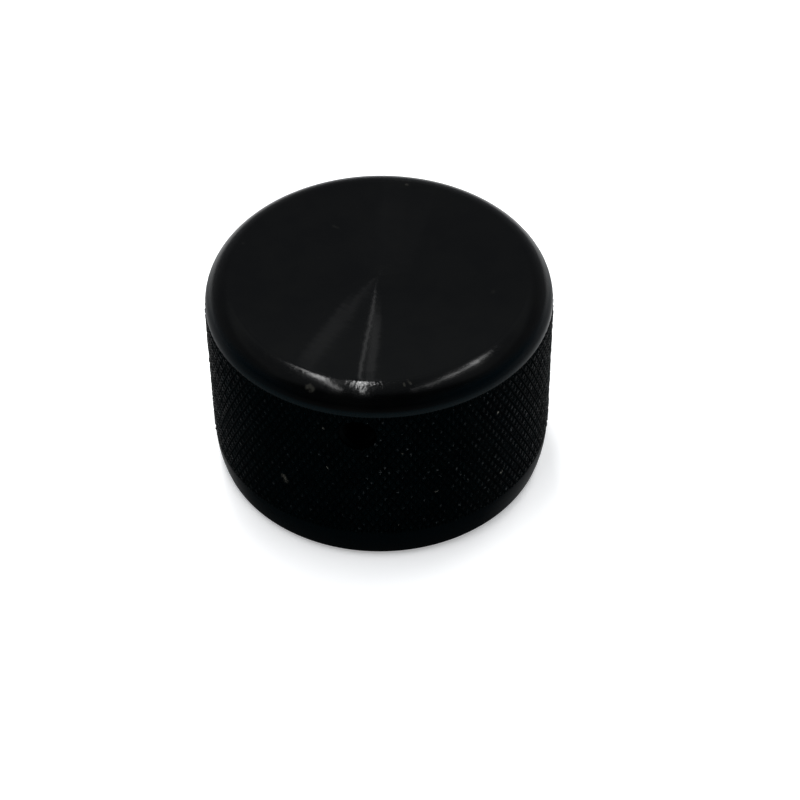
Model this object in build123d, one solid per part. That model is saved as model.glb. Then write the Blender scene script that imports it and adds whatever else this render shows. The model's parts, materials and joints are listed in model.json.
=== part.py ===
from build123d import *
from math import pi, radians, tan
import os

# A valve knob: a turned and knurled aluminium grip, clamped on a valve stem by one set screw.
# Millimetres, +Z up. The origin is on the knob's axis, in the plane of the foot ring it stands on.
# The knob is one turned piece: faced top, rounded top edge, knurled grip band and crowned foot.
# From below, a wide recess clears the valve's bonnet, and a blind bore in the hub takes the stem.
# The set screw sits deep in a radial hole that runs from the front of the grip to the stem bore.

# Turned outside
body_radius = 19.0  # side of the bar before knurling
height = 24.5  # foot ring to top face
top_round = 2.7  # radius between the top face and the side
foot_length = 3.9  # plain foot below the knurl
foot_radius = 18.3  # where the crowned foot would meet the base plane
foot_bevel = 0.5  # broken edge of the foot ring

# Diamond knurl on the grip, with every second groove of the real one
knurl_starts = 64  # grooves of each hand around the grip
knurl_angle = 30  # degrees between the grooves and the axis
knurl_rise = 0.12  # crests above the bar
knurl_depth = 0.4  # crests above the grooves, as a 0.8 mm pitch of square grooves leaves them
knurl_shoulder = 0.06  # the band's square ends above the bar

# Underside
recess_radius = 13.0
recess_depth = 12.0  # foot ring to hub face
recess_bevel = 0.5  # broken edge at the recess mouth
bore_radius = 4.0  # fits the valve stem
bore_bevel = 0.4  # broken edge at the bore mouth
top_web = 3.2  # metal left between the bore's end and the top face

# Set screw and its radial hole
screw_drop = 5.5  # top face to the screw's axis
screw_radius = 2.0  # over the thread
screw_length = 8.0
screw_clearance = 0.05  # thread crest to the hole's wall
tip_setback = 0.3  # screw tip to the bore's wall, so a stem can enter
socket_flats = 2.0  # across the hexagon
socket_depth = 2.4
screw_end_bevel = 0.35
cup_rim_radius = 1.25  # end of the cup point
cup_radius = 1.0  # hollow in the cup point
cup_depth = 0.55

# Places and counts that follow from the sizes above
crest_radius = body_radius + knurl_rise
knurl_top = height - top_round
knurl_columns = 2 * knurl_starts
knurl_rows = round((knurl_top - foot_length) * tan(radians(knurl_angle)) * knurl_starts / (pi * body_radius))
bore_end = height - top_web
screw_axis_height = height - screw_drop
screw_tip = bore_radius + tip_setback
hole_radius = screw_radius + screw_clearance


def turned_section():
    """Half section of the knob as the lathe leaves it, from the axis to the outside."""
    with BuildSketch(Plane.XZ) as section:
        with BuildLine():
            Polyline((0, bore_end), (0, height), (body_radius - top_round, height))
            TangentArc((body_radius - top_round, height), (body_radius, knurl_top), tangent=(1, 0))
            Line((body_radius, knurl_top), (body_radius, foot_length))
            TangentArc((body_radius, foot_length), (foot_radius, 0), tangent=(0, -1))
            Polyline(
                (foot_radius, 0),
                (recess_radius + recess_bevel, 0),
                (recess_radius, recess_bevel),
                (recess_radius, recess_depth),
                (bore_radius + bore_bevel, recess_depth),
                (bore_radius, recess_depth + bore_bevel),
                (bore_radius, bore_end),
                (0, bore_end),
            )
        make_face()
        foot_edge = section.vertices().sort_by_distance((foot_radius, 0, 0)).first
        chamfer(foot_edge, foot_bevel)
    return section.sketch


def knurl_point(column, row):
    """A point of the knurl's net, by turns a crest and a crossing of grooves; both end rows are level."""
    radius = crest_radius - knurl_depth * ((column + row) % 2)
    if row in (0, knurl_rows):
        radius = body_radius + knurl_shoulder
    level = foot_length + (knurl_top - foot_length) * row / knurl_rows
    return Vector(radius, 0, level).rotate(Axis.Z, 360 * column / knurl_columns)


def knurl_flanks():
    """The pyramids' flat flanks: each square of the net has two, which meet in a groove's bottom."""
    flanks = []
    for row in range(knurl_rows):
        for column in range(2):
            square = [
                knurl_point(column, row),
                knurl_point(column + 1, row),
                knurl_point(column + 1, row + 1),
                knurl_point(column, row + 1),
            ]
            if (column + row) % 2:
                square.append(square.pop(0))
            flanks.append(Face(Wire.make_polygon([square[0], square[1], square[3]])))
            flanks.append(Face(Wire.make_polygon([square[2], square[3], square[1]])))
    return [place * flank for place in PolarLocations(0, knurl_starts) for flank in flanks]


def knurl_end(row):
    """The narrow step from the turned side to one end of the knurled band."""
    points = [knurl_point(column, row) for column in range(knurl_columns)]
    side = Wire.make_circle(body_radius, Plane.XY.offset(points[0].Z))
    return Face(Wire.make_polygon(points), [side])


def knurled_form():
    """The turned form, with the knurl in place of its side."""
    turned = revolve(turned_section(), axis=Axis.Z).faces()
    side = turned.filter_by(GeomType.CYLINDER).sort_by(SortBy.AREA).last
    kept = [face for face in turned if not face.is_same(side)]
    return Solid(Shell(kept + knurl_flanks() + [knurl_end(0), knurl_end(knurl_rows)]))


def radial(part, radius):
    """Turns a part built along +Z to point out of the hole, its base at this radius."""
    return Pos(0, -radius, screw_axis_height) * Rot(90, 0, 0) * part


def knob_body():
    """The turned and knurled grip, with its recess, its stem bore and the hole drilled into that bore."""
    upright = (Align.CENTER, Align.CENTER, Align.MIN)
    screw_hole = Cylinder(hole_radius, crest_radius + knurl_depth, align=upright)
    return knurled_form() - radial(screw_hole, 0)


def set_screw():
    """A hexagon socket set screw with a cup point."""
    point_length = screw_radius - cup_rim_radius
    with BuildPart() as screw:
        with BuildSketch(Plane.XZ):
            with BuildLine():
                Polyline(
                    (0, cup_depth),
                    (cup_radius, 0),
                    (cup_rim_radius, 0),
                    (screw_radius, point_length),
                    (screw_radius, screw_length - screw_end_bevel),
                    (screw_radius - screw_end_bevel, screw_length),
                    (0, screw_length),
                    close=True,
                )
            make_face()
        revolve(axis=Axis.Z)
        with BuildSketch(Plane.XY.offset(screw_length)):
            RegularPolygon(socket_flats / 2, 6, major_radius=False)
        extrude(amount=-socket_depth, mode=Mode.SUBTRACT)
    return radial(screw.part, screw_tip)


os.makedirs("parts", exist_ok=True)
export_step(knob_body(), "parts/knob_body.step")
export_step(set_screw(), "parts/set_screw.step")
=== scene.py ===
import json
import math

import bmesh
import bpy
from mathutils import Matrix, Vector


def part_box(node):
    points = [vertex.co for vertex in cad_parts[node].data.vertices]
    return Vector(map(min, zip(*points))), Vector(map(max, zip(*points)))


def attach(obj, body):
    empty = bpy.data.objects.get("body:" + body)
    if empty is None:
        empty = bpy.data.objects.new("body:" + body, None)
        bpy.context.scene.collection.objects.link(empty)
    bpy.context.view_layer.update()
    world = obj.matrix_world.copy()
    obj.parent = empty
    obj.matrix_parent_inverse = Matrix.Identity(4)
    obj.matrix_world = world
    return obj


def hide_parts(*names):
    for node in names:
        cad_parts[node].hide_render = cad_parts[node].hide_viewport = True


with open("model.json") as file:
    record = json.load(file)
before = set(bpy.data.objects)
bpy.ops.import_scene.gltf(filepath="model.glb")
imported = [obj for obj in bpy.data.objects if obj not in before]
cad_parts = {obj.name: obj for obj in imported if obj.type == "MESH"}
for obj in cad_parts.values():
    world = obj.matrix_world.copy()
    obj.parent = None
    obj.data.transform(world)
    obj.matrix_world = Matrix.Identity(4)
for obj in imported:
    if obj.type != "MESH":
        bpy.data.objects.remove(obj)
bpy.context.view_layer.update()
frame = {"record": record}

# A turned and knurled valve knob, in metres, standing on its foot ring at z = 0 with its axis on Z.
# The set screw's hole opens towards -Y. The CAD frame gives the overall sizes; the rest are below.

MM = 0.001
knob_low, knob_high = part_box("knob_body")
screw_low, screw_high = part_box("set_screw")

# Turned outside
HEIGHT = knob_high.z
CREST_RADIUS = knob_high.x
KNURL_RISE = 0.12 * MM
BAR_RADIUS = CREST_RADIUS - KNURL_RISE
TOP_ROUND = 2.7 * MM
FOOT_LENGTH = 3.9 * MM
FOOT_RADIUS = 18.3 * MM
FOOT_ROUND = 0.8 * MM
KNURL_TOP = HEIGHT - TOP_ROUND

# Underside
RECESS_RADIUS = 13.0 * MM
RECESS_DEPTH = 12.0 * MM
RECESS_CORNER = 0.6 * MM
RECESS_BEVEL = 0.5 * MM
TOP_WEB = 3.2 * MM
BORE_RADIUS = next(m["dims"]["r_mm"] for m in frame["record"]["mounts"] if m["name"] == "stem_bore") * MM
BORE_BEVEL = 0.4 * MM
BORE_END = HEIGHT - TOP_WEB

# Diamond knurl. A flank takes up the flank share of the way from a groove to a diamond's middle, and the flat
# crest the rest. The scatter is how far a crest may stay short of its height, as a share of the depth.
KNURL_STARTS = 128
DIAMONDS_TALL = 11
GROOVE_DEPTH = 0.3 * MM
FLANK_SHARE = 2 / 3
CREST_SCATTER = 0.22
SCATTER_SEED = 7
DIAMOND_STEPS = 3

# Set screw and its tapped hole. The thread is a V that is cut flat at its crests and roots, past which it
# would go on by the flat's share of its depth.
SCREW_AXIS_HEIGHT = (screw_low.z + screw_high.z) / 2
SCREW_RADIUS = (screw_high.z - screw_low.z) / 2
SCREW_TIP = -screw_high.y
SCREW_LENGTH = screw_high.y - screw_low.y
THREAD_PITCH = 0.7 * MM
THREAD_DEPTH = 0.42 * MM
THREAD_FLAT = 1 / 8
THREAD_STEPS = 8
THREAD_CLEARANCE = 0.05 * MM
HOLE_OVERRUN = 1.5 * MM
MOUTH_OVERRUN = 1.0 * MM
MOUTH_MARGIN = 0.05 * MM
HOLE_MOUTH = 2.2 * MM
CUP_RADIUS = 1.0 * MM
CUP_DEPTH = 0.55 * MM
POINT_RADIUS = 1.25 * MM
HEAD_BEVEL = 0.45 * MM
SOCKET_FLATS = 2.0 * MM
SOCKET_DEPTH = 2.4 * MM
SOCKET_MOUTH = 1.19 * MM
SOCKET_BEVEL = 0.12 * MM
SOCKET_POINT = 0.35 * MM

# Camera, fitted to the knob's outline in the 800 x 800 picture
PICTURE = 800
SENSOR = 36.0
FOCAL_PIXELS = 2300
TOP_CENTRE_PIXEL = (378.7, 276.2)
CAMERA_AZIMUTH = math.radians(7.7)
CAMERA_ELEVATION = math.radians(41.55)
CAMERA_ROLL = math.radians(1.1)
CAMERA_REACH = 249.8 * MM

# The picture's dark tones are crushed, and so the black skin reflects less here than real anodising does.
ANODISED_IOR = 1.15

# Strip lamps above the top face, which mirrors the first seven as streaks; its rounded edge mirrors the rest
# as glints. Each has two ends, across and behind the knob as the camera sees it, a width and a radiance.
LAMP_HEIGHT = 1.0
STRIPS = {
    "face_line": ((-0.0030, 1.105), (-0.0165, 1.012), 0.0014, 7.0),
    "face_soft": ((-0.0008, 1.085), (-0.0084, 1.016), 0.006, 1.5),
    "face_wide_far": ((-0.0030, 1.123), (-0.0210, 1.096), 0.004, 1.0),
    "face_wide": ((-0.0210, 1.096), (-0.0560, 1.033), 0.013, 0.75),
    "face_back": ((0.0025, 1.135), (0.0085, 1.235), 0.007, 0.12),
    "face_back_wide": ((0.0030, 1.135), (0.0170, 1.235), 0.018, 0.10),
    "face_back_haze": ((0.0040, 1.135), (0.0280, 1.235), 0.040, 0.07),
    "left_far": ((-0.108, 0.88), (-0.132, 0.66), 0.020, 55.0),
    "left_peak": ((-0.132, 0.66), (-0.160, 0.50), 0.034, 130.0),
    "left_middle": ((-0.160, 0.50), (-0.195, 0.30), 0.028, 80.0),
    "left_near": ((-0.195, 0.30), (-0.240, 0.00), 0.020, 57.0),
    "left_end": ((-0.240, 0.00), (-0.270, -0.25), 0.020, 62.0),
    "centre_far": ((-0.018, 0.84), (-0.028, 0.70), 0.004, 180.0),
    "centre_peak": ((-0.028, 0.70), (-0.043, 0.55), 0.005, 620.0),
    "centre_middle": ((-0.045, 0.55), (-0.066, 0.32), 0.006, 380.0),
    "centre_near": ((-0.066, 0.32), (-0.092, 0.00), 0.006, 300.0),
    "centre_end": ((-0.092, 0.00), (-0.118, -0.30), 0.006, 240.0),
    "right_far": ((0.225, 0.62), (0.270, 0.54), 0.030, 60.0),
    "right_wide": ((0.255, 0.66), (0.330, 0.54), 0.040, 28.0),
    "right_peak": ((0.270, 0.54), (0.340, 0.42), 0.044, 60.0),
    "right_out": ((0.340, 0.42), (0.400, 0.32), 0.030, 31.0),
    "right_middle": ((0.315, 0.43), (0.290, 0.15), 0.042, 55.0),
    "right_near": ((0.290, 0.15), (0.270, -0.15), 0.030, 27.0),
    "right_end": ((0.230, 0.00), (0.210, -0.30), 0.030, 8.0),
}

# Pale nicks on the grip and marks on the top: two ends, each by its angle from +X in degrees, its distance
# from the axis and its height in millimetres, then how far from it the mark fades out and how pale it is.
GRIP_NICKS = (
    ((-116.7, 19.1, 9.9), (-115.5, 19.1, 9.2), 0.46, 0.06),
    ((-65.8, 19.1, 9.5), (-63.8, 19.1, 9.6), 0.18, 0.07),
    ((-39.6, 19.1, 8.0), (-37.8, 19.1, 8.2), 0.20, 0.16),
    ((-77.4, 19.1, 5.3), (-76.2, 19.1, 5.2), 0.12, 0.06),
    ((-88.0, 19.1, 16.1), (-87.9, 19.1, 15.3), 0.14, 0.012),
    ((-101.0, 19.1, 19.5), (-100.8, 19.1, 19.4), 0.16, 0.05),
    ((-100.2, 19.1, 13.6), (-100.2, 19.1, 13.0), 0.20, 0.12),
    ((-76.6, 19.1, 16.4), (-75.6, 19.1, 16.3), 0.14, 0.05),
    ((-41.8, 19.1, 17.7), (-41.2, 19.1, 17.6), 0.22, 0.30),
)
TOP_MARKS = (
    ((126.0, 9.3, 24.5), (127.5, 9.9, 24.5), 0.22, 0.004),
    ((-5.8, 12.6, 24.5), (-5.0, 12.6, 24.5), 0.30, 0.0025),
    ((85.0, 15.9, 24.5), (85.6, 15.9, 24.5), 0.24, 0.012),
    ((166.0, 16.0, 24.5), (166.4, 16.0, 24.5), 0.20, 0.003),
    ((-106.8, 18.0, 23.9), (-105.8, 18.05, 23.8), 0.52, 0.018),
    ((-72.7, 16.45, 24.5), (-71.8, 17.0, 24.41), 0.17, 0.016),
    ((-74.1, 16.86, 24.44), (-74.1, 17.13, 24.37), 0.16, 0.016),
)

# Meshes. A guard is a ring this close to a round, which keeps the flat beside it flat.
COLUMNS = 2 * KNURL_STARTS * DIAMOND_STEPS
SCREW_COLUMNS = 48
GUARD = 0.05 * MM
SHARP_EDGE = math.radians(20)
WELD = 0.001 * MM

# The floor disc's rings, each by its radius and its level in metres
FLOOR_RINGS = ((0, 0), (0.3, 0), (4.0, 0))
FLOOR_COLUMNS = 64


class Wire:
    """A node's output socket. Python's operators add Math nodes that work on it."""

    def __init__(self, socket):
        self.socket = socket

    def math(self, operation, *others):
        values = dict(enumerate((self, *others)))
        return Graph(self.socket.id_data).node("ShaderNodeMath", {"operation": operation}, values)

    def __add__(self, other):
        return self.math("ADD", other)

    __radd__ = __add__

    def __sub__(self, other):
        return self.math("SUBTRACT", other)

    def __rsub__(self, other):
        return self * -1 + other

    def __mul__(self, other):
        return self.math("MULTIPLY", other)

    __rmul__ = __mul__

    def __truediv__(self, other):
        return self.math("DIVIDE", other)

    def __abs__(self):
        return self.math("ABSOLUTE")

    def clamp(self):
        return self.math("MAXIMUM", 0.0).math("MINIMUM", 1.0)

    def between(self, low, high):
        """0 below low, 1 above high and a smooth rise in between; high may be the lower of the two."""
        inputs = {"Value": self, "From Min": low, "From Max": high}
        settings = {"interpolation_type": "SMOOTHSTEP"}
        return Graph(self.socket.id_data).node("ShaderNodeMapRange", settings, inputs, "Result")


def find(sockets, key):
    """A socket by number, identifier or name."""
    if isinstance(key, int):
        return sockets[key]
    named = [s for s in sockets if s.identifier == key] or [s for s in sockets if s.name == key]
    return named[0]


class Graph:
    """A material's, the world's or a geometry tree, to which nodes are added by kind."""

    def __init__(self, tree):
        self.tree = tree

    def node(self, kind, settings=None, inputs=None, output=0):
        """Adds a node: its settings first, then its sockets, each a value or another node's wire."""
        made = self.tree.nodes.new(kind)
        for name, value in (settings or {}).items():
            setattr(made, name, value)
        for key, value in (inputs or {}).items():
            socket = find(made.inputs, key)
            if isinstance(value, Wire):
                self.tree.links.new(value.socket, socket)
            else:
                socket.default_value = value
        return Wire(find(made.outputs, output)) if made.outputs else None

    def parts(self, vector):
        """The three numbers of a vector."""
        split = self.node("ShaderNodeSeparateXYZ", None, {0: vector}).socket.node
        return [Wire(s) for s in split.outputs]

    def vector(self, x, y, z):
        return self.node("ShaderNodeCombineXYZ", None, {0: x, 1: y, 2: z})

    def mix(self, factor, first, second):
        """Goes from the first colour to the second."""
        values = {"Factor_Float": factor, "A_Color": first, "B_Color": second}
        return self.node("ShaderNodeMix", {"data_type": "RGBA"}, values, "Result_Color")

    def noise(self, vector, scale, detail=2.0, roughness=0.5):
        values = {"Vector": vector, "Scale": scale, "Detail": detail, "Roughness": roughness}
        return self.node("ShaderNodeTexNoise", None, values)


# Turned forms

def arc(centre_radius, centre_level, radius, start, end, steps):
    """Rings on a round in the half section; angles are in degrees from the outward direction, up positive."""
    rings = []
    for step in range(steps + 1):
        angle = math.radians(start + (end - start) * step / steps)
        rings.append((centre_radius + radius * math.cos(angle), centre_level + radius * math.sin(angle)))
    return rings


def crowned_foot():
    """Rings from the knurl's lower end over the crowned foot and its rounded edge to the base plane."""
    inset = BAR_RADIUS - FOOT_RADIUS
    crown = (FOOT_LENGTH ** 2 + inset ** 2) / (2 * inset)
    turn = -math.degrees(math.asin((FOOT_LENGTH - FOOT_ROUND) / (crown - FOOT_ROUND)))
    round_centre = BAR_RADIUS - crown + (crown - FOOT_ROUND) * math.cos(math.radians(turn))
    rings = arc(BAR_RADIUS - crown, FOOT_LENGTH, crown, start=0, end=turn, steps=5)
    return rings + arc(round_centre, FOOT_ROUND, FOOT_ROUND, start=turn, end=-90, steps=6)[1:]


def knob_rings():
    """The knob's half section as two runs of rings, above and below the knurled band."""
    flat = BAR_RADIUS - TOP_ROUND
    top_round = arc(flat, KNURL_TOP, TOP_ROUND, start=90, end=0, steps=12)
    foot = crowned_foot()
    foot_edge = foot[-1][0]
    corner_radius, corner_level = RECESS_RADIUS - RECESS_CORNER, RECESS_DEPTH - RECESS_CORNER
    under = [
        (foot_edge - GUARD, 0),
        (RECESS_RADIUS + RECESS_BEVEL, 0),
        (RECESS_RADIUS, RECESS_BEVEL),
        *arc(corner_radius, corner_level, RECESS_CORNER, start=0, end=90, steps=5),
        (corner_radius - GUARD, RECESS_DEPTH),
        (BORE_RADIUS + BORE_BEVEL, RECESS_DEPTH),
        (BORE_RADIUS, RECESS_DEPTH + BORE_BEVEL),
        (BORE_RADIUS, BORE_END),
        (0, BORE_END),
    ]
    return [(0, HEIGHT), (flat - GUARD, HEIGHT)] + top_round, foot + under


def lathe(form, rings, columns, shape=None):
    """Adds a form of revolution to a bmesh.

    A ring of no radius is a pole, and one with a third value is scaled by shape, a function of the angle.
    """
    loops = []
    for radius, level, *scaled in rings:
        count = columns if radius > 0 else 1
        loop = []
        for step in range(count):
            angle = 2 * math.pi * step / columns
            reach = radius * (shape(angle) if scaled else 1)
            loop.append(form.verts.new((reach * math.cos(angle), reach * math.sin(angle), level)))
        loops.append(loop)
    for first, second in zip(loops, loops[1:]):
        for step in range(columns):
            corners = []
            for loop, place in ((first, step), (second, step), (second, step + 1), (first, step + 1)):
                corners.append(loop[place % len(loop)])
            form.faces.new(list(dict.fromkeys(corners)))


def close_form(form, name, materials):
    """Welds a bmesh's seams, turns its faces outwards and makes it a mesh with these materials."""
    bmesh.ops.remove_doubles(form, verts=form.verts, dist=WELD)
    bmesh.ops.recalc_face_normals(form, faces=form.faces)
    mesh = bpy.data.meshes.new(name)
    for material in materials:
        mesh.materials.append(material)
    form.to_mesh(mesh)
    form.free()
    return mesh


def show(name, mesh):
    """An object at the origin, smooth but for its corners."""
    mesh.shade_smooth()
    mesh.set_sharp_from_angle(angle=SHARP_EDGE)
    piece = bpy.data.objects.new(name, mesh)
    bpy.context.scene.collection.objects.link(piece)
    return piece


# Geometry trees

SOCKETS = {int: "NodeSocketInt", float: "NodeSocketFloat", bpy.types.Material: "NodeSocketMaterial"}


def geometry_tree(name, inputs):
    """A geometry tree with these named inputs; inputs maps each name to its Python type."""
    tree = bpy.data.node_groups.new(name, "GeometryNodeTree")
    for label, kind in inputs.items():
        tree.interface.new_socket(label, in_out="INPUT", socket_type=SOCKETS[kind])
    tree.interface.new_socket("Geometry", in_out="OUTPUT", socket_type="NodeSocketGeometry")
    source = tree.nodes.new("NodeGroupInput")
    return Graph(tree), {label: Wire(source.outputs[label]) for label in inputs}


def finish_tree(graph, geometry, material):
    """Ends a geometry tree with its instances made real and its material set."""
    real = graph.node("GeometryNodeRealizeInstances", None, {"Geometry": geometry})
    ready = graph.node("GeometryNodeSetMaterial", None, {"Geometry": real, "Material": material})
    graph.node("NodeGroupOutput", None, {"Geometry": ready})
    return graph.tree


def grow(tree, values):
    """The plain mesh that a geometry tree makes with these values for its named inputs."""
    holder = bpy.data.objects.new(tree.name, bpy.data.meshes.new(tree.name))
    bpy.context.scene.collection.objects.link(holder)
    modifier = holder.modifiers.new(tree.name, "NODES")
    modifier.node_group = tree
    for item in tree.interface.items_tree:
        if item.in_out == "INPUT":
            modifier[item.identifier] = values[item.name]
    bpy.context.view_layer.update()
    state = bpy.context.evaluated_depsgraph_get()
    mesh = bpy.data.meshes.new_from_object(holder.evaluated_get(state))
    holder.modifiers.clear()
    bpy.data.objects.remove(holder)
    return mesh


def unrolled_grid(graph, columns, rows):
    """A flat grid, with the column and row of each of its points counted from nothing."""
    values = {"Size X": 1.0, "Size Y": 1.0, "Vertices X": columns + 1, "Vertices Y": rows + 1}
    grid = graph.node("GeometryNodeMeshGrid", None, values)
    x, y, _ = graph.parts(graph.node("GeometryNodeInputPosition"))
    return grid, (x + 0.5) * columns, (y + 0.5) * rows


def rolled(graph, mesh, angle, radius, level):
    """Rolls a grid up to a sleeve and welds its seam."""
    place = graph.vector(angle.math("COSINE") * radius, angle.math("SINE") * radius, level)
    sleeve = graph.node("GeometryNodeSetPosition", None, {"Geometry": mesh, "Position": place})
    return graph.node("GeometryNodeMergeByDistance", None, {"Geometry": sleeve, "Distance": WELD})


def knurl_tree():
    """A sleeve with two hands of V grooves, which cross and leave rows of cut-off pyramids."""
    graph, size = geometry_tree("knurled_band", {
        "Starts": int, "Diamonds Tall": int, "Steps": int, "Bar Radius": float, "Crest Radius": float,
        "Groove Depth": float, "Flank Share": float, "Crest Scatter": float, "Bottom": float, "Top": float,
        "Seed": int, "Material": bpy.types.Material,
    })
    steps = size["Steps"] * 2
    columns = size["Starts"] * steps
    rows = size["Diamonds Tall"] * steps
    grid, across, up = unrolled_grid(graph, columns, rows)

    # Each half diamond's squares are split along the grooves, so that every flank is flat.
    half = (across / size["Steps"]).math("FLOOR") + (up / size["Steps"]).math("FLOOR")
    odd = half.math("MODULO", 2.0).math("GREATER_THAN", 0.5)
    mesh = graph.node("GeometryNodeTriangulate", {"quad_method": "FIXED"}, {"Mesh": grid, "Selection": odd})
    mesh = graph.node("GeometryNodeTriangulate", {"quad_method": "FIXED_ALTERNATE"}, {"Mesh": mesh})

    # Grooves of one hand lie where rising is half-way between whole numbers, and the other hand's where
    # falling is. The two hands cross at column and row 0.
    column, row = across.math("ROUND"), up.math("ROUND")
    rising, falling = (column + row) / steps - 0.5, (column - row) / steps - 0.5
    near_rising, near_falling = rising.math("ROUND"), falling.math("ROUND")
    from_crest = abs(rising - near_rising).math("MAXIMUM", abs(falling - near_falling)) * 2
    rise = ((1 - from_crest) / size["Flank Share"]).math("MINIMUM", 1.0)

    # Each diamond is pressed up a little more or less than its neighbours.
    turn = (near_rising + near_falling).math("FLOORED_MODULO", size["Starts"] * 2)
    diamond = graph.vector(turn, near_rising - near_falling, size["Seed"])
    scatter = graph.node("ShaderNodeTexWhiteNoise", {"noise_dimensions": "3D"}, {"Vector": diamond})
    rise = rise * (1 - scatter * size["Crest Scatter"])

    inside = row.math("GREATER_THAN", 0.5) * row.math("LESS_THAN", rows - 0.5)
    knurled = size["Crest Radius"] - size["Groove Depth"] * (1 - rise)
    radius = size["Bar Radius"] + (knurled - size["Bar Radius"]) * inside
    level = size["Bottom"] + (size["Top"] - size["Bottom"]) * row / rows
    sleeve = rolled(graph, mesh, column / columns * (2 * math.pi), radius, level)
    return finish_tree(graph, sleeve, size["Material"])


def thread_tree():
    """A threaded sleeve, whose crests run out at each end in a bevel."""
    graph, size = geometry_tree("threaded_sleeve", {
        "Columns": int, "Steps": int, "Turns": int, "Pitch": float, "Root Radius": float, "Depth": float,
        "Start": float, "End": float, "Start Radius": float, "End Radius": float,
        "Material": bpy.types.Material,
    })
    rows = size["Steps"] * (size["Turns"] + 1)
    grid, across, up = unrolled_grid(graph, size["Columns"], rows)
    turned = across.math("ROUND") / size["Columns"]
    climb = up.math("ROUND") / size["Steps"]
    level = (size["Start"] + (climb + turned - 1) * size["Pitch"]).math("MAXIMUM", size["Start"])
    level = level.math("MINIMUM", size["End"])
    from_crest = abs(climb - climb.math("ROUND")) * 2
    rise = ((1 - from_crest) * (1 + 2 * THREAD_FLAT) - THREAD_FLAT).clamp()
    radius = size["Root Radius"] + size["Depth"] * rise
    radius = radius.math("MINIMUM", size["Start Radius"] + level - size["Start"])
    radius = radius.math("MINIMUM", size["End Radius"] + size["End"] - level)
    sleeve = rolled(graph, grid, turned * (2 * math.pi), radius, level)
    return finish_tree(graph, sleeve, size["Material"])


# Materials. Heights and distances are in millimetres, and colours are linear.

def surface(name):
    """A new material, its tree and its Object coordinates in millimetres."""
    material = bpy.data.materials.new(name)
    material.use_nodes = True
    material.node_tree.nodes.clear()
    graph = Graph(material.node_tree)
    place = graph.node("ShaderNodeTexCoord", None, None, "Object")
    place = graph.node("ShaderNodeVectorMath", {"operation": "SCALE"}, {0: place, "Scale": 1 / MM})
    return material, graph, place


def coated(graph, **sockets):
    """A surface shader; a socket's name is written with underscores."""
    return graph.node("ShaderNodeBsdfPrincipled", None, {k.replace("_", " "): v for k, v in sockets.items()})


def finish(graph, shader):
    graph.node("ShaderNodeOutputMaterial", None, {"Surface": shader})


def relief(graph, height, depth, strength=1.0):
    """Normals bent by a height, of which one stands for this depth in millimetres."""
    values = {"Strength": strength, "Distance": depth * MM, "Height": height}
    return graph.node("ShaderNodeBump", None, values)


def from_axis(x, y):
    """A place's distance from the axis."""
    return (x * x + y * y).math("SQRT")


def anodised(graph, colour, gloss, normal, **sockets):
    """Ends a material with black anodising; gloss is its glossy share, and the rest is open pores."""
    matt = coated(graph, Base_Color=colour, Roughness=0.8, IOR=1.0, Normal=normal)
    glossy = coated(graph, Base_Color=colour, IOR=ANODISED_IOR, Normal=normal, **sockets)
    finish(graph, graph.node("ShaderNodeMixShader", None, {0: gloss, 1: matt, 2: glossy}))


def around(turn, radius, level):
    """A place by its angle from +X in degrees, its distance from the axis and its height."""
    return Vector((radius * math.cos(math.radians(turn)), radius * math.sin(math.radians(turn)), level))


def stroke(graph, place, ends, width):
    """1 on a short straight stroke, which fades at its edge."""
    start, end = (around(*spot) for spot in ends)
    along = end - start
    away = graph.node("ShaderNodeVectorMath", {"operation": "SUBTRACT"}, {0: place, 1: start})
    share = graph.node("ShaderNodeVectorMath", {"operation": "DOT_PRODUCT"}, {0: away, 1: along}, "Value")
    share = (share / along.length_squared).clamp()
    nearest = graph.node("ShaderNodeVectorMath", {"operation": "SCALE"}, {0: along, "Scale": share})
    gap = graph.node("ShaderNodeVectorMath", {"operation": "DISTANCE"}, {0: away, 1: nearest}, "Value")
    return gap.between(width, width * 0.3)


def marked(graph, place, colour, marks):
    """The colour with these pale marks on it, frayed at their edges."""
    bare = (0.80, 0.78, 0.66, 1)
    frayed = graph.noise(place, 3.0, 2.0).between(0.3, 0.55)
    for *ends, width, paleness in marks:
        mark = stroke(graph, place, ends, width) * frayed
        colour = graph.mix(mark * paleness, colour, bare)
    return colour


def turned_colour(graph, place):
    """Near black and faintly clouded, and bluer below the rounded edge and on the foot. The edge's flanks
    have a painted bluish sheen, and low on the edge there is a painted highlight line.
    """
    blacks = (0.0002, 0.0003, 0.0004, 1), (0.0006, 0.0007, 0.0007, 1)
    painted_sheen_blue, painted_highlight_blue = (0.0002, 0.0014, 0.0022, 1), (0, 0.0024, 0.0034, 1)
    blue_foot = (0, 0.0011, 0.0016, 1)
    x, _, z = graph.parts(place)
    cloud = graph.noise(place, 0.35, 3.0).between(0.3, 0.7)
    # Painted sheen: the rounded edge's sides, as the camera sees them, are made a lighter blue.
    flank = z.between(23.9, 23.2) * abs(x).between(4.0, 14.0)
    # Painted highlight: a lighter blue line low on the rounded edge.
    low_line = z.between(22.6, 22.2)
    below = z.between(21.0, 5.0)
    colour = graph.mix(cloud, *blacks)
    colour = graph.mix(flank, colour, painted_sheen_blue)
    colour = graph.mix(low_line, colour, painted_highlight_blue)
    colour = graph.mix(below, colour, blue_foot)
    return marked(graph, place, colour, TOP_MARKS)


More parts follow.
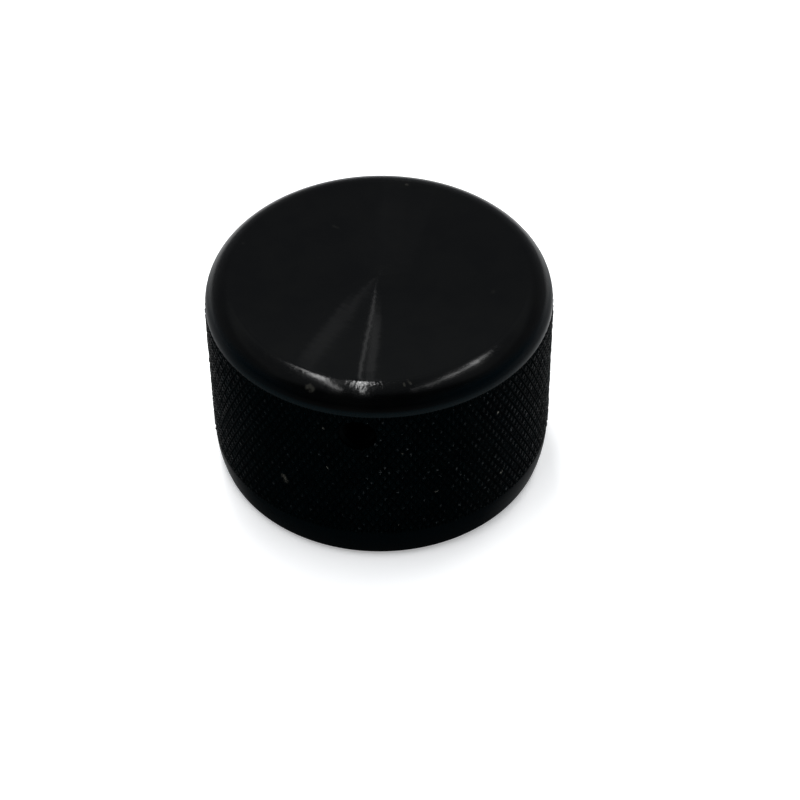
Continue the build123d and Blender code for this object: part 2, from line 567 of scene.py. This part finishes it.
def turned_relief(graph, place, path, edge):
    """The tool's path wavers from ring to ring, and handling has worn spokes across the rounded edge."""
    x, y, _ = graph.parts(place)
    radius = from_axis(x, y)
    spoke_scale = 40
    wavering = graph.noise(graph.vector(x * 0.25, y * 0.25, path * 1.3), 1.0, 1.0)
    circle = x / radius * spoke_scale, y / radius * spoke_scale
    spokes = graph.noise(graph.vector(*circle, path * 0.6), 1.0, 2.0, 0.6)
    worn = graph.noise(place, 2.6, 2.0) + spokes
    return relief(graph, wavering * (edge * 1.4 + 0.17) + worn * edge * 0.6, 0.008)


def turned_gloss(graph, place):
    """Glossy on top and dull from the rounded edge down, but less so at the sides and low on that edge."""
    x, _, z = graph.parts(place)
    side = abs(x).between(12.0, 18.0)
    edge, foot = z.between(23.9, 23.0), z.between(16.0, 6.0)
    dull = edge * 0.85 + foot * 0.09
    low_line = z.between(22.7, 22.1) * x.between(-22.0, 16.0)
    above_foot = z.between(18.0, 21.0)
    return 1.0 - dull * (1 - side * 0.2) + low_line * above_foot * 0.25


def turned_anodised():
    """Black anodising on turned metal: fine rings draw its gloss out in streaks towards the axis."""
    material, graph, place = surface("turned_anodised")
    x, y, z = graph.parts(place)
    radius = from_axis(x, y)
    edge = radius.between(16.1, 16.7)
    path = radius - z
    rings = graph.node("ShaderNodeTexNoise", {"noise_dimensions": "1D"}, {"W": path, "Scale": 6.0})
    roughness = 0.03 + rings * 0.006 + edge * 0.115
    colour = turned_colour(graph, place)
    gloss = turned_gloss(graph, place)
    normal = turned_relief(graph, place, path, edge)
    streaks = {"Roughness": roughness, "Anisotropic": 1.0, "Anisotropic_Rotation": 0.25}
    anodised(graph, colour, gloss, normal, **streaks)
    return material


def knurled_colour(graph, place, radius, crest):
    """Near black, with painted shade in the grooves, and some crests pale, partly worn and partly as painted
    glints, the more so towards +X.
    """
    blacks = (0, 0.0008, 0.0011, 1), (0.0002, 0.0014, 0.0018, 1)
    painted_groove_shade, worn_and_glint_pale = (0, 0.0002, 0.0002, 1), (0.50, 0.54, 0.56, 1)
    x, _, _ = graph.parts(place)
    cloud = graph.noise(place, 0.5, 2.0).between(0.35, 0.65)
    # Painted shade: the grooves are made darker, where shade falls in them.
    groove = radius.between(19.0, 18.84)
    patches = graph.noise(place, 1.6, 2.0, 0.7).between(0.58, 0.72)
    # Painted glints and wear: pale crests stand for worn tips and for the lamps' glints, painted stronger
    # towards +X.
    rightward = x.between(-8.0, 6.0)
    worn_and_glinting = crest * patches * (0.3 + rightward * 0.7)
    colour = graph.mix(cloud, *blacks)
    colour = graph.mix(groove * 0.6, colour, painted_groove_shade)
    colour = graph.mix(worn_and_glinting * 0.06, colour, worn_and_glint_pale)
    return marked(graph, place, colour, GRIP_NICKS)


def knurled_anodised():
    """The knurled grip: the same black skin, dulled by the knurling tool, whose burred crests glitter."""
    material, graph, place = surface("knurled_anodised")
    x, y, _ = graph.parts(place)
    radius = from_axis(x, y)
    crest = radius.between(19.0, 19.07)
    colour = knurled_colour(graph, place, radius, crest)
    grain = graph.noise(place, 9.0, 3.0, 0.65)
    burr = graph.noise(place, 3.5, 1.0)
    normal = relief(graph, grain * 0.1 + crest * burr, 0.1)
    side = (x.between(8.0, 19.0) + x.between(-9.5, -18.5)) * 0.88 + 0.12
    gloss = (crest + 0.17) * side * 0.85 + 0.05
    anodised(graph, colour, gloss, normal, Roughness=grain * 0.2 + 0.2)
    return material


def painted_hole_shade():
    """Painted shade in the drilled and tapped hole: matt black without gloss, for a hole too deep and narrow
    to gleam.
    """
    material, graph, place = surface("painted_hole_shade")
    grain = graph.noise(place, 5.0, 2.0)
    colour = graph.mix(grain, (0.0001, 0.0001, 0.0001, 1), (0.0003, 0.0003, 0.0003, 1))
    finish(graph, coated(graph, Base_Color=colour, Roughness=grain * 0.2 + 0.5, IOR=1.0))
    return material


def blackened_steel():
    """The set screw's black oxide, a little mottled."""
    material, graph, place = surface("blackened_steel")
    grain = graph.noise(place, 7.0, 3.0, 0.6)
    colour = graph.mix(grain.between(0.3, 0.75), (0.002, 0.002, 0.002, 1), (0.006, 0.006, 0.006, 1))
    normal = relief(graph, grain, 0.02, 0.25)
    finish(graph, coated(graph, Base_Color=colour, Roughness=grain * 0.25 + 0.3, IOR=1.2, Normal=normal))
    return material


def seen(graph):
    """1 for rays from the camera and for those that a gloss or a glass sends on."""
    paths = graph.node("ShaderNodeLightPath").socket.node
    kinds = [Wire(find(paths.outputs, f"Is {kind} Ray")) for kind in ("Camera", "Glossy", "Transmission")]
    return kinds[0].math("MAXIMUM", kinds[1]).math("MAXIMUM", kinds[2])


def pale_floor():
    """The plain pale floor that the knob stands on; it keeps the knob's shadow."""
    material, graph, _ = surface("pale_floor")
    diffuse = graph.node("ShaderNodeBsdfDiffuse", None, {"Color": (0.86, 0.86, 0.86, 1), "Roughness": 1.0})
    glow = graph.node("ShaderNodeEmission", None, {"Color": (1, 1, 1, 1), "Strength": seen(graph) * 0.35})
    finish(graph, graph.node("ShaderNodeAddShader", None, {0: diffuse, 1: glow}))
    return material


# Pieces

def outward(mesh, reach):
    """Turns a mesh built along +Z to point out of the screw's hole, its base this far from the axis."""
    turn = Matrix.Rotation(math.radians(90), 4, "X")
    mesh.transform(Matrix.Translation((0, -reach, SCREW_AXIS_HEIGHT)) @ turn)
    return mesh


def cut_away(mesh, cutter):
    """The mesh less the space that the cutter fills."""
    body = bpy.data.objects.new("body", mesh)
    tool = bpy.data.objects.new("tool", cutter)
    for item in (body, tool):
        bpy.context.scene.collection.objects.link(item)
    modifier = body.modifiers.new("cut", "BOOLEAN")
    modifier.operation = "DIFFERENCE"
    modifier.solver = "MANIFOLD"
    modifier.material_mode = "TRANSFER"
    modifier.object = tool
    bpy.context.view_layer.update()
    state = bpy.context.evaluated_depsgraph_get()
    result = bpy.data.meshes.new_from_object(body.evaluated_get(state))
    bpy.data.objects.remove(body)
    bpy.data.objects.remove(tool)
    return result


def thread_values(material, **sizes):
    """The inputs that the screw's thread and its tapped hole share, and those that differ."""
    return {
        "Columns": SCREW_COLUMNS, "Steps": THREAD_STEPS, "Pitch": THREAD_PITCH, "Depth": THREAD_DEPTH,
        "Material": material, **sizes,
    }


def tapped_cutter(threads, black):
    """The space of the tapped hole, from inside the stem bore to the outside, along +Z."""
    start, end = -HOLE_OVERRUN, CREST_RADIUS - SCREW_TIP + MOUTH_OVERRUN
    turns = math.ceil((end - start) / THREAD_PITCH)
    radius = SCREW_RADIUS - THREAD_DEPTH + THREAD_CLEARANCE
    sleeve = grow(threads, thread_values(black, **{
        "Turns": turns, "Root Radius": radius, "Start": start, "End": end,
        "Start Radius": radius, "End Radius": radius,
    }))
    form = bmesh.new()
    form.from_mesh(sleeve)
    lathe(form, [(0, start), (radius, start)], SCREW_COLUMNS)
    lathe(form, [(radius, end), (0, end)], SCREW_COLUMNS)
    return close_form(form, "tapped_cutter", [black])


def mouth_cutter(black):
    """The space that ends the thread in a cone and bevels the hole's mouth, along +Z from the screw's tip."""
    side = CREST_RADIUS - SCREW_TIP
    major = SCREW_RADIUS + THREAD_CLEARANCE
    minor = major - THREAD_DEPTH - MOUTH_MARGIN
    mouth = HOLE_MOUTH + MOUTH_MARGIN
    cone_start, cone_end = side - 0.85 * MM, side - 0.4 * MM
    bevel_start, bevel_end = side - 0.12 * MM, side + 0.1 * MM
    outside = side + MOUTH_OVERRUN
    form = bmesh.new()
    lathe(form, [
        (0, cone_start),
        (minor, cone_start),
        (major, cone_end),
        (major, bevel_start),
        (mouth, bevel_end),
        (mouth, outside),
        (0, outside),
    ], SCREW_COLUMNS)
    return close_form(form, "mouth_cutter", [black])


def knurled_grip(threads, turned, knurled, black):
    """The whole knob body: turned form, knurled band and tapped hole in one closed mesh."""
    band = grow(knurl_tree(), {
        "Starts": KNURL_STARTS, "Diamonds Tall": DIAMONDS_TALL, "Steps": DIAMOND_STEPS,
        "Bar Radius": BAR_RADIUS, "Crest Radius": CREST_RADIUS, "Groove Depth": GROOVE_DEPTH,
        "Flank Share": FLANK_SHARE, "Crest Scatter": CREST_SCATTER, "Bottom": FOOT_LENGTH, "Top": KNURL_TOP,
        "Seed": SCATTER_SEED, "Material": knurled,
    })
    form = bmesh.new()
    form.from_mesh(band)
    for face in form.faces:
        face.material_index = 1
    for rings in knob_rings():
        lathe(form, rings, COLUMNS)
    mesh = close_form(form, "knurled_grip", [turned, knurled])
    for cutter in (tapped_cutter(threads, black), mouth_cutter(black)):
        mesh = cut_away(mesh, outward(cutter, SCREW_TIP))
    return show("knurled_grip", mesh)


def hexagon(angle):
    """How far a hexagon's edge lies at this angle, for a flat at distance one."""
    sixth = math.pi / 3
    return 1 / math.cos((angle + sixth / 2) % sixth - sixth / 2)


def threaded_set_screw(threads, steel):
    """The set screw: cup point, thread and hexagon socket, turned to lie in its hole."""
    head = SCREW_RADIUS - HEAD_BEVEL
    sleeve = grow(threads, thread_values(steel, **{
        "Turns": math.ceil(SCREW_LENGTH / THREAD_PITCH), "Root Radius": SCREW_RADIUS - THREAD_DEPTH,
        "Start": 0.0, "End": SCREW_LENGTH, "Start Radius": POINT_RADIUS, "End Radius": head,
    }))
    form = bmesh.new()
    form.from_mesh(sleeve)
    lathe(form, [(0, CUP_DEPTH), (CUP_RADIUS, 0), (POINT_RADIUS, 0)], SCREW_COLUMNS)
    flat = SOCKET_FLATS / 2
    socket_end = SCREW_LENGTH - SOCKET_DEPTH
    lathe(form, [
        (head, SCREW_LENGTH),
        (SOCKET_MOUTH, SCREW_LENGTH),
        (flat, SCREW_LENGTH - SOCKET_BEVEL, True),
        (flat, socket_end, True),
        (0, socket_end - SOCKET_POINT),
    ], SCREW_COLUMNS, hexagon)
    mesh = outward(close_form(form, "threaded_set_screw", [steel]), SCREW_TIP)
    return show("threaded_set_screw", mesh)


def floor_disc(material):
    """The floor: a wide plain disc in the foot ring's plane."""
    form = bmesh.new()
    lathe(form, FLOOR_RINGS, FLOOR_COLUMNS)
    bmesh.ops.recalc_face_normals(form, faces=form.faces)
    for face in form.faces:
        if face.normal.z < 0:
            face.normal_flip()
    mesh = bpy.data.meshes.new("floor")
    form.to_mesh(mesh)
    form.free()
    mesh.materials.append(material)
    floor = bpy.data.objects.new("floor", mesh)
    bpy.context.scene.collection.objects.link(floor)


# Light and camera

def photo_camera():
    """The camera at the picture's angle, turned so that the top face's centre falls on its pixel."""
    back = Vector((
        math.sin(CAMERA_AZIMUTH) * math.cos(CAMERA_ELEVATION),
        -math.cos(CAMERA_AZIMUTH) * math.cos(CAMERA_ELEVATION),
        math.sin(CAMERA_ELEVATION),
    ))
    right = Vector((math.cos(CAMERA_AZIMUTH), math.sin(CAMERA_AZIMUTH), 0))
    up = back.cross(right)
    looking = Matrix((right, up, back)).transposed()
    column, row = TOP_CENTRE_PIXEL
    half = PICTURE / 2
    aside = Vector(((column - half) / FOCAL_PIXELS, (half - row) / FOCAL_PIXELS, -1))
    aim = aside.rotation_difference(Vector((0, 0, -1))).to_matrix()
    roll = Matrix.Rotation(-CAMERA_ROLL, 3, "Z")
    turn = looking @ roll @ aim
    camera = bpy.data.objects.new("camera", bpy.data.cameras.new("camera"))
    camera.data.sensor_width = SENSOR
    camera.data.lens = SENSOR * FOCAL_PIXELS / PICTURE
    camera.matrix_world = Matrix.Translation(Vector((0, 0, HEIGHT)) + back * CAMERA_REACH) @ turn.to_4x4()
    bpy.context.scene.collection.objects.link(camera)
    bpy.context.scene.camera = camera


def strip_lamp(name, start, end, width, radiance):
    """A flat strip over the knob that faces down; its ends are across and behind, as the camera sees it."""
    start, end = Vector(start), Vector(end)
    along, middle = end - start, (start + end) / 2
    light = bpy.data.lights.new(name, "AREA")
    light.shape = "RECTANGLE"
    light.size, light.size_y = width, along.length
    light.energy = radiance * width * along.length * math.pi
    made = bpy.data.objects.new(name, light)
    turn = math.atan2(-along.x, along.y)
    aside = Matrix.Translation((middle.x, middle.y, HEIGHT + LAMP_HEIGHT)) @ Matrix.Rotation(turn, 4, "Z")
    made.matrix_world = Matrix.Rotation(CAMERA_AZIMUTH, 4, "Z") @ aside
    made.visible_camera = False
    bpy.context.scene.collection.objects.link(made)


def room_colour(graph, direction):
    """A grey room, paler overhead and with a bright band there. Behind the camera it's dark but low down."""
    wall, ceiling, band = (0.44, 0.46, 0.49, 1), (0.75, 0.79, 0.84, 1), (0.90, 0.95, 0.98, 1)
    dark, low_wall = (0.02, 0.02, 0.02, 1), (0.30, 0.31, 0.33, 1)
    x, y, z = graph.parts(direction)
    away = x * -math.sin(CAMERA_AZIMUTH) + y * math.cos(CAMERA_AZIMUTH)
    ahead = graph.mix(z.between(0.58, 0.74), wall, ceiling)
    ahead = graph.mix(z.between(0.665, 0.70) * z.between(0.80, 0.74), ahead, band)
    behind = graph.mix(z.between(0.55, 0.35), dark, low_wall)
    return graph.mix(away.between(-0.45, -0.2), behind, ahead)


def studio():
    """Strip lamps over the knob, in a grey room."""
    for name, strip in STRIPS.items():
        strip_lamp(name, *strip)
    world = bpy.data.worlds.new("studio")
    bpy.context.scene.world = world
    world.use_nodes = True
    world.node_tree.nodes.clear()
    graph = Graph(world.node_tree)
    direction = graph.node("ShaderNodeTexCoord", None, None, "Generated")
    colour = room_colour(graph, direction)
    room = graph.node("ShaderNodeBackground", None, {"Color": colour, "Strength": 1.0})
    graph.node("ShaderNodeOutputWorld", None, {"Surface": room})


def main():
    bpy.context.scene.view_settings.view_transform = "Standard"
    threads = thread_tree()
    grip = knurled_grip(threads, turned_anodised(), knurled_anodised(), painted_hole_shade())
    screw = threaded_set_screw(threads, blackened_steel())
    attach(grip, "root")
    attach(screw, "root")
    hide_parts("knob_body")
    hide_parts("set_screw")
    floor_disc(pale_floor())
    photo_camera()
    studio()


main()
